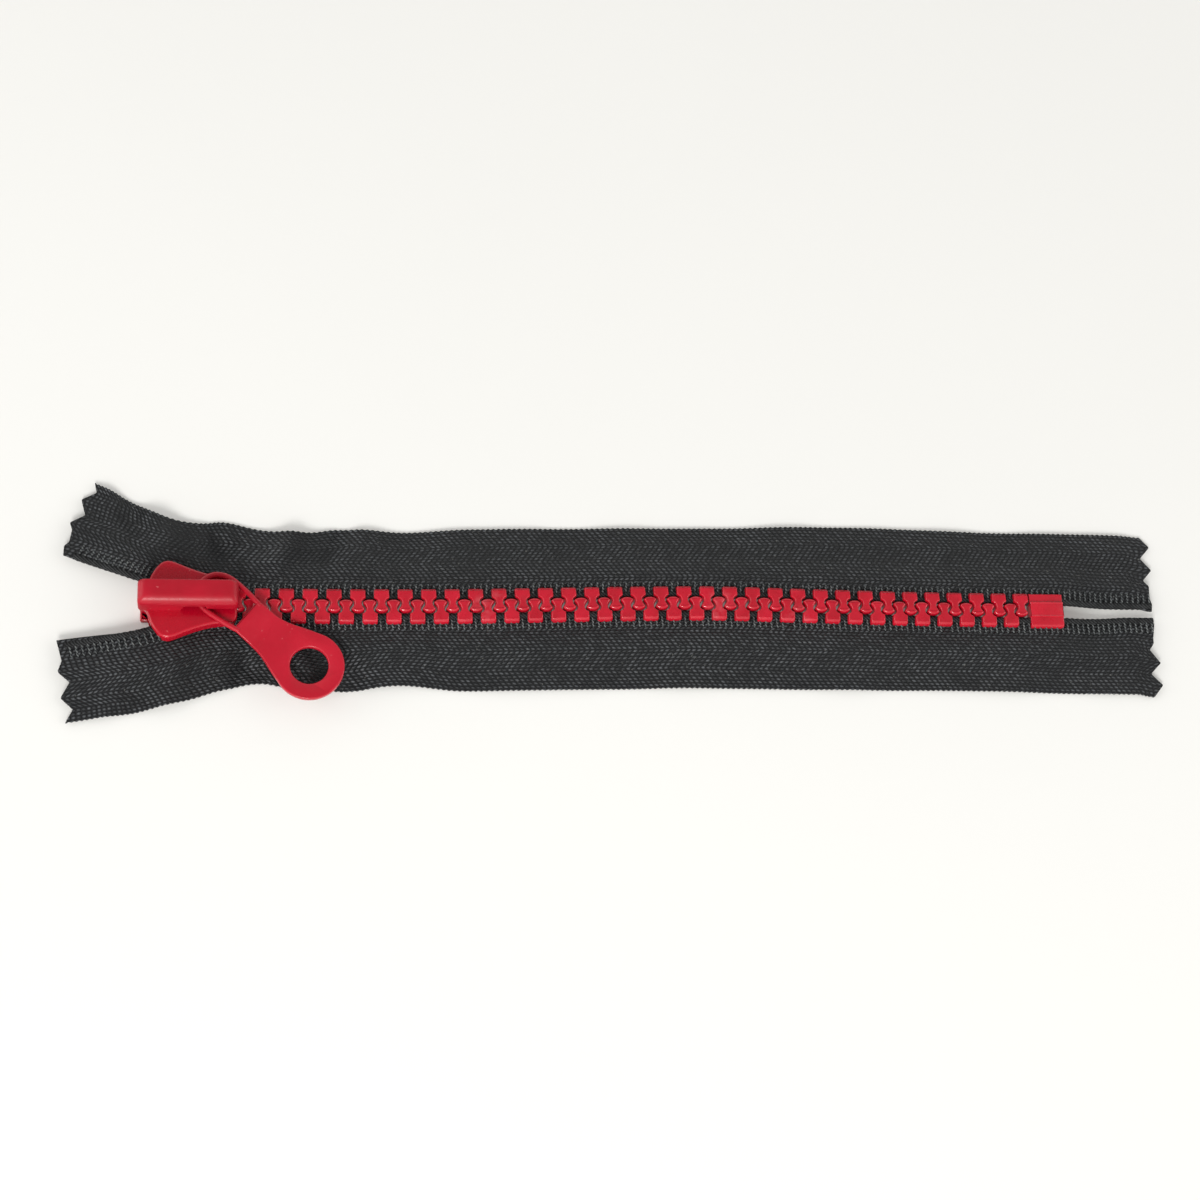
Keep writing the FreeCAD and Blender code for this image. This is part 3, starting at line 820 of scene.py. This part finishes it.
# Right halves of the plates, of the channel between them and of the divider: (X, distance out).
PLATE_HALF = [
    (-92.6, 0.0), (-92.55, 0.7), (-92.35, 1.3), (-91.95, 1.8), (-91.45, 2.25), (-91.1, 2.9), (-90.85, 3.7),
    (-90.45, 4.75), (-89.9, 5.75), (-89.3, 6.6), (-88.7, 7.2), (-88.1, 7.55), (-87.4, 7.7), (-86.7, 7.6),
    (-86.0, 7.37), (-85.0, 6.95), (-83.6, 6.35), (-82.0, 5.75), (-80.4, 5.25), (-78.8, 4.9), (-77.2, 4.72),
    (-75.9, 4.65), (-75.2, 4.5), (-74.75, 4.15), (-74.5, 3.7), (-74.4, 3.1),
]
CHANNEL_HALF = [(-95, 7.0), (-89.6, 7.0), (-86.4, 6.8), (-83.3, 5.65), (-79, 3.95), (-70, 3.95)]
DIVIDER_HALF = [(-92.3, 0.85), (-91.2, 1.3), (-89.6, 1.15), (-87.6, 0.35)]


def lacquer(name, low, high, edge, rough, coat, coat_rough):
    """Red lacquer over metal: slow clouds, dust nibs, a faint orange peel and a painted highlight on the
    thin edges.
    """
    material, tree, shader = new_material(name)
    marks = place_group(tree, HARD_SURFACE, Cloud_scale=150.0, Scuff_scale=1500.0, Ripple_scale=420.0)
    base = colour_mix(tree, marks["Cloud"], low, high)
    # painted highlight: the thin edges are made a brighter red
    colour = colour_mix(tree, maths(tree, "MULTIPLY", marks["Edge"], 0.5), base, edge)
    nibs = range_node(tree, noise_node(tree, object_place(tree), 1300.0, 1.0), 0.77, 0.8)
    colour = colour_mix(tree, maths(tree, "MULTIPLY", nibs, 0.35), colour, (0.7, 0.2, 0.2))
    tree.links.new(colour, shader.inputs["Base Color"])
    sheen = range_node(tree, marks["Scuff"], 0.0, 1.0, rough, rough + 0.1)
    tree.links.new(sheen, shader.inputs["Roughness"])
    shader.inputs["Specular IOR Level"].default_value = 0.35
    shader.inputs["Coat Weight"].default_value = coat
    shader.inputs["Coat Roughness"].default_value = coat_rough
    bump_into(tree, shader, maths(tree, "ADD", marks["Ripple"], nibs), 0.35, 0.05)
    return material


SLIDER_PAINT = lacquer(
    "slider lacquer", (0.36, 0.0006, 0.011), (0.43, 0.0008, 0.015), (0.6, 0.003, 0.02),
    rough=0.24, coat=0.4, coat_rough=0.05,
)


def closed(points, faces):
    """A closed solid with its faces all turned outward."""
    piece = mesh_piece("working_solid", points, faces)
    shell = bmesh.new()
    shell.from_mesh(piece.data)
    bmesh.ops.recalc_face_normals(shell, faces=shell.faces)
    shell.to_mesh(piece.data)
    shell.free()
    return piece


def carve(piece, tools):
    """Cuts or adds solids, each given as (operation, shape), and leaves one plain mesh."""
    for operation, shape in tools:
        tool = closed(*shape)
        change = piece.modifiers.new("change", "BOOLEAN")
        change.operation = operation
        change.solver = "EXACT"
        change.object = tool
        whole = piece.evaluated_get(bpy.context.evaluated_depsgraph_get())
        mesh = bpy.data.meshes.new_from_object(whole)
        piece.modifiers.clear()
        piece.data = mesh
        bpy.data.objects.remove(tool)
    return piece


ROUND_IN = 0.29  # the middle of a quarter round stands this share of its radius in from the corner


def block(x_from, x_to, y_half, z_from, z_to, soft=0.0):
    """Shape of a straight block astride the middle line, its upright corners eased."""
    corners = [(x_to, -y_half), (x_to, y_half), (x_from, y_half), (x_from, -y_half)]
    plan = []
    for x, y in corners:
        sx, sy = (1 if x == x_to else -1), (1 if y > 0 else -1)
        first, second = (x - sx * soft, y), (x, y - sy * soft)
        middle = (x - sx * soft * ROUND_IN, y - sy * soft * ROUND_IN)
        pair = [second, middle, first] if sx == sy else [first, middle, second]
        plan += [(px, py, soft) for px, py in pair] if soft else [(x, y, 0.0)]
    return stacked(plan, rounded_levels(z_from, z_to, 0.0, soft * 0.6))


def both_sides(half, soft):
    """Whole plan outline from its right half, given from front to rear."""
    return [(x, y, soft) for x, y in half] + [(x, -y, soft) for x, y in reversed(half) if y > 0]


def aside(shape):
    """A shape drawn about the middle line, moved over to where the slider sits."""
    return [p + Vector((0, SLIDER_ASIDE, 0)) for p in shape[0]], shape[1]


plates = stacked(both_sides(PLATE_HALF, PLATE_SOFT), rounded_levels(0.0, BODY_TOP, 0.45, PLATE_SOFT))
channel = stacked(both_sides(CHANNEL_HALF, 0.0), [(CHANNEL_FROM, 0.0), (CHANNEL_TO, 0.0)])
tape_gap = block(-100, -60, 12, CHAIN_Z - TAPE_GAP_HALF, CHAIN_Z + TAPE_GAP_HALF)
divider = stacked(both_sides(DIVIDER_HALF, 0.0), [(0.7, 0.0), (5.0, 0.0)])
pawl_window = block(-79.6, -78.2, 0.6, 3.5, 7.0)
toe = block(-92.5, -90.2, 2.9, 0.08, CHANNEL_FROM, 0.35)
front_lug = block(-90.6, -86.8, 1.5, LUG_FROM, LUG_TO, 0.3)
rear_lug = block(-76.4, -75.2, 0.8, LUG_FROM, LUG_TO, 0.25)
body = closed(*aside(plates))
carve(body, [
    ("DIFFERENCE", channel), ("DIFFERENCE", tape_gap), ("UNION", divider), ("DIFFERENCE", pawl_window),
    ("UNION", aside(toe)), ("UNION", aside(front_lug)), ("UNION", aside(rear_lug)),
])
body.name = "slider_casting"
sharpen(body)
body.data.materials.append(SLIDER_PAINT)
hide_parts("slider_body")
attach(body, "slider")


# ---- locking spring ------------------------------------
# A bent strip of bright spring steel on the front lug. Its turned-down tail drops between two teeth through
# the window in the top plate, and the pull lifts it.
def spring_steel():
    """Rolled strip: fine lines along its length and a few darker rubs."""
    material, tree, shader = new_material("spring steel")
    stretch = tree.nodes.new("ShaderNodeMapping")
    stretch.inputs["Scale"].default_value = (0.08, 1.0, 1.0)
    tree.links.new(object_place(tree), stretch.inputs["Vector"])
    lines = noise_node(tree, stretch.outputs["Vector"], 4000.0, 4.0)
    rubs = noise_node(tree, object_place(tree), 400.0, 2.0)
    shade = maths(tree, "MULTIPLY", lines, rubs)
    bright = range_node(tree, shade, 0.1, 0.4)
    steel = colour_mix(tree, bright, (0.3, 0.3, 0.31), (0.62, 0.62, 0.63))
    tree.links.new(steel, shader.inputs["Base Color"])
    tree.links.new(range_node(tree, lines, 0.3, 0.7, 0.22, 0.4), shader.inputs["Roughness"])
    shader.inputs["Metallic"].default_value = 1.0
    bump_into(tree, shader, lines, 0.2, 0.01)
    return material


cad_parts["lock_spring"].data.materials[0] = spring_steel()


# ---- crown ---------------------------------------------
# Pressed steel cover snapped over both lugs and lacquered red like the slider. Its long edges are rolled
# over, its ends slope, and its walls are cut back behind the middle so that the pull's loop swings under it.
CROWN_FRONT, CROWN_REAR = -92.8, -74.2
CROWN_FOOT, CROWN_TOP, CROWN_HALF = 5.72, 10.4, 2.45
CROWN_WALL = 0.7
FRONT_SLOPE, REAR_SLOPE = 1.5, 1.3
NEAR_ROLL, FAR_ROLL = 1.9, 0.45
CORNER_POINTS = 7
# Side view of the cut that lets the loop through: (X, height).
CROWN_MOUTH = [
    (-73, 5.0), (-73, 7.0), (-80.0, 7.0), (-80.25, 7.9), (-80.5, 8.1), (-83.9, 8.1), (-84.3, 7.9),
    (-85.2, 5.0),
]


def crown_skin(levels):
    """Shape of a shell with round corners: levels are (height, front, rear, near side, far side, corner)."""
    points, faces = [], []
    for height, front, rear, near, far, corner in levels:
        corners = (
            (rear, far, -1, -1, 0), (front, far, 1, -1, 90),
            (front, near, 1, 1, 180), (rear, near, -1, 1, 270),
        )
        for x, y, along, across, first in corners:
            middle_x, middle_y = x + along * corner, y + across * corner
            for step in range(CORNER_POINTS):
                angle = math.radians(first + 90 / (CORNER_POINTS - 1) * step)
                skin_x, skin_y = middle_x + corner * math.cos(angle), middle_y + corner * math.sin(angle)
                points.append(Vector((skin_x, skin_y, height)))
    around = 4 * CORNER_POINTS
    for level in range(len(levels) - 1):
        for i in range(around):
            a, b = level * around + i, level * around + (i + 1) % around
            faces.append((a, b, b + around, a + around))
    faces.append(tuple(range(around))[::-1])
    faces.append(tuple(range((len(levels) - 1) * around, len(levels) * around)))
    return points, faces


def rolled_levels(foot, top, wall, drop, corner):
    """Levels of the crown inside or outside, a wall in from its skin, rolled over at the top by a drop."""
    levels = [(foot, CROWN_FRONT + wall, CROWN_REAR - wall, wall - CROWN_HALF, CROWN_HALF - wall, corner)]
    for step in range(9):
        turn = math.pi / 2 * step / 8
        down, share = drop * (1 - math.sin(turn)), 1 - math.cos(turn)
        front = CROWN_FRONT + wall + FRONT_SLOPE * share
        rear = CROWN_REAR - wall - REAR_SLOPE * share
        near, far = wall - CROWN_HALF + NEAR_ROLL * share, CROWN_HALF - wall - FAR_ROLL * share
        levels.append((top - down, front, rear, near, far, corner))
    return levels


CROWN_PAINT = lacquer(
    "crown lacquer", (0.33, 0.0005, 0.011), (0.40, 0.0007, 0.015), (0.5, 0.002, 0.018),
    rough=0.42, coat=0.12, coat_rough=0.2,
)
crown = closed(*aside(crown_skin(rolled_levels(CROWN_FOOT, CROWN_TOP, 0.0, 1.7, 0.75))))
hollow = aside(crown_skin(rolled_levels(5.0, CROWN_TOP - CROWN_WALL, CROWN_WALL, 1.0, 0.2)))
mouth = stacked([(x, z, 0.0) for x, z in CROWN_MOUTH], [(-5.0, 0.0), (5.0, 0.0)])
carve(crown, [("DIFFERENCE", hollow), ("DIFFERENCE", lying(mouth, (1, 0, 0), (0, 0, 1)))])
crown.name = "crown_cover"
sharpen(crown)
crown.data.materials.append(CROWN_PAINT)
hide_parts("crown")
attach(crown, "slider")


# ---- pull ----------------------------------------------
# One thin casting: a wire-like loop that passes under the crown, a short sloped neck, and a flat tab that
# widens into a ring with a round eye. It lies over the chain, swung towards the left-hand tape.
SWIVEL_X, PULL_TURN = -76.5, -38.8
LOOP_Z, TAB_Z = 5.9, 4.45
LOOP_WIRE, TAB_THICK, TAB_SOFT = 0.8, 1.2, 0.24
RING_AT, RING_RADIUS, EYE_RADIUS = 19.88, 6.6, 3.6
RING_OPEN, RING_STEPS, EYE_STEPS = 113, 36, 64
LEVEL_TO, BEND_TO = 5.45, 9.3
# One flank of the tab and one arm of the loop, from the swivel: (along, out).
TAB_FLANK = [
    (4.7, 3.55), (4.85, 3.68), (6.5, 3.7), (8.5, 3.72), (10.0, 3.84), (11.5, 4.12), (13.0, 4.6),
    (14.5, 5.16), (16.0, 5.68),
]
LOOP_ARM = [
    (5.7, 3.14), (4.7, 3.34), (2.4, 3.68), (0.0, 3.88), (-1.8, 3.9), (-3.3, 3.6), (-4.7, 2.75),
    (-5.55, 1.45),
]
PULL_PAINT = lacquer(
    "pull lacquer", (0.40, 0.004, 0.017), (0.45, 0.006, 0.022), (0.58, 0.012, 0.03),
    rough=0.3, coat=0.2, coat_rough=0.06,
)

rim = []
for step in range(RING_STEPS + 1):
    angle = math.radians(RING_OPEN - 2 * RING_OPEN * step / RING_STEPS)
    rim.append((RING_AT + RING_RADIUS * math.cos(angle), RING_RADIUS * math.sin(angle)))
plan = [(x, y, TAB_SOFT) for x, y in TAB_FLANK + rim + [(x, -y) for x, y in reversed(TAB_FLANK)]]
pull = closed(*stacked(plan, rounded_levels(0.0, TAB_THICK, TAB_SOFT, TAB_SOFT)))
eye_ring = []
for step in range(EYE_STEPS):
    angle = 2 * math.pi * step / EYE_STEPS
    eye_ring.append((RING_AT + EYE_RADIUS * math.cos(angle), EYE_RADIUS * math.sin(angle), TAB_SOFT))
eye_levels = [(-0.6, -1.0), (0.0, -1.0), (0.07, -0.45), (TAB_SOFT, 0.0)]
eye_levels += [(0.96, 0.0), (1.13, -0.45), (TAB_THICK, -1.0), (1.8, -1.0)]
carve(pull, [("DIFFERENCE", stacked(eye_ring, eye_levels))])

arm = LOOP_ARM + [(-5.8, 0.0)] + [(x, -y) for x, y in reversed(LOOP_ARM)]
places = [(i, x, y) for i, (x, y) in enumerate(arm)]
line = []
for i in range(6 * (len(arm) - 1) + 1):
    x, y = through(places, i / 6)
    line.append(Vector((x, y, LOOP_WIRE / 2)))
loop = tube(line, [LOOP_WIRE * 0.66] * len(line), 14)

shape = bmesh.new()
shape.from_mesh(pull.data)
for cut_at in (4.95, LEVEL_TO, 5.9, 6.8, 7.8, 8.7, BEND_TO, 9.9):
    everything = shape.verts[:] + shape.edges[:] + shape.faces[:]
    bmesh.ops.bisect_plane(shape, geom=everything, plane_co=(cut_at * MM, 0, 0), plane_no=(1, 0, 0))
for v in shape.verts:
    down = min(max((v.co.x / MM - LEVEL_TO) / (BEND_TO - LEVEL_TO), 0.0), 1.0)
    thick = LOOP_WIRE + (TAB_THICK - LOOP_WIRE) * down
    v.co.z = v.co.z * thick / TAB_THICK + (LOOP_Z + (TAB_Z - LOOP_Z) * down) * MM
loop_points = [shape.verts.new((p.x * MM, p.y * MM, (p.z + LOOP_Z) * MM)) for p in loop[0]]
for face in loop[1]:
    shape.faces.new([loop_points[v] for v in face])
bmesh.ops.rotate(shape, verts=shape.verts, matrix=Matrix.Rotation(math.radians(PULL_TURN), 3, "Z"))
bmesh.ops.translate(shape, verts=shape.verts, vec=(SWIVEL_X * MM, 0, 0))
shape.to_mesh(pull.data)
shape.free()
pull.name = "pull_tab"
sharpen(pull)
pull.data.materials.append(PULL_PAINT)
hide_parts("pull")
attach(pull, "pull")


# ---- table, light and camera ---------------------------
# A pale matt table under the zipper, a wide soft light over the near side and a bright room all round.
TABLE_HALF, TABLE_Z = 900.0, -0.02


def table_top():
    """Table surface just under the zipper, with a faint unevenness in its paint."""
    material, tree, shader = new_material("table paint")
    cloud = noise_node(tree, object_place(tree), 6.0, 3.0)
    paint = colour_mix(tree, cloud, (0.665, 0.665, 0.65), (0.685, 0.685, 0.67))
    tree.links.new(paint, shader.inputs["Base Color"])
    tree.links.new(range_node(tree, cloud, 0.3, 0.7, 0.6, 0.7), shader.inputs["Roughness"])
    shader.inputs["Emission Color"].default_value = (1.0, 0.97, 0.92, 1.0)
    shader.inputs["Emission Strength"].default_value = 0.15
    corners = [(x * TABLE_HALF, y * TABLE_HALF, TABLE_Z) for x, y in ((-1, -1), (1, -1), (1, 1), (-1, 1))]
    table = mesh_piece("table", corners, [(0, 1, 2, 3)], smooth=False)
    table.data.materials.append(material)


table_top()


def soft_light(name, spot, aim, size, power):
    """A square soft light aimed at a point, in metres and watts."""
    data = bpy.data.lights.new(name, "AREA")
    data.shape = "SQUARE"
    data.size = size
    data.energy = power
    data.color = (1.0, 0.985, 0.96)
    lamp = bpy.data.objects.new(name, data)
    lamp.location = spot
    lamp.rotation_euler = (Vector(aim) - Vector(spot)).to_track_quat("-Z", "Y").to_euler()
    bpy.context.scene.collection.objects.link(lamp)


soft_light("window", (-0.25, -0.8, 0.72), (-0.02, 0, 0), 0.38, 9.0)
soft_light("left wall", (-1.1, 0.1, 0.6), (0, 0, 0), 0.9, 4.0)
soft_light("right wall", (1.1, -0.2, 0.6), (0, 0, 0), 0.9, 4.0)

room = bpy.data.worlds.new("room")
room.use_nodes = True
room_tree = room.node_tree
upward = room_tree.nodes.new("ShaderNodeSeparateXYZ")
room_tree.links.new(room_tree.nodes.new("ShaderNodeTexCoord").outputs["Generated"], upward.inputs[0])
glow = range_node(room_tree, upward.outputs["Z"], 0.45, 0.9, 0.85, 0.3)
room_tree.links.new(glow, room_tree.nodes["Background"].inputs["Strength"])
room_tree.nodes["Background"].inputs["Color"].default_value = (1.0, 1.0, 0.985, 1.0)
bpy.context.scene.world = room
bpy.context.scene.view_settings.view_transform = "Standard"

CAMERA_AT = Vector((-75.41, -160.81, 451.50))
CAMERA_RIGHT, CAMERA_UP = Vector((0.9893, -0.0392, 0.1407)), Vector((-0.0111, 0.9404, 0.3398))
CAMERA_AHEAD = Vector((0.1456, 0.3377, -0.9299))

camera_data = bpy.data.cameras.new("camera")
camera_data.sensor_width = 36.0
camera_data.lens = 75.0
camera_data.clip_start = 0.01
camera = bpy.data.objects.new("camera", camera_data)
bpy.context.scene.collection.objects.link(camera)
turning = Matrix((CAMERA_RIGHT, CAMERA_UP, -CAMERA_AHEAD)).transposed()
camera.matrix_world = Matrix.Translation(CAMERA_AT * MM) @ turning.to_4x4()
bpy.context.scene.camera = camera
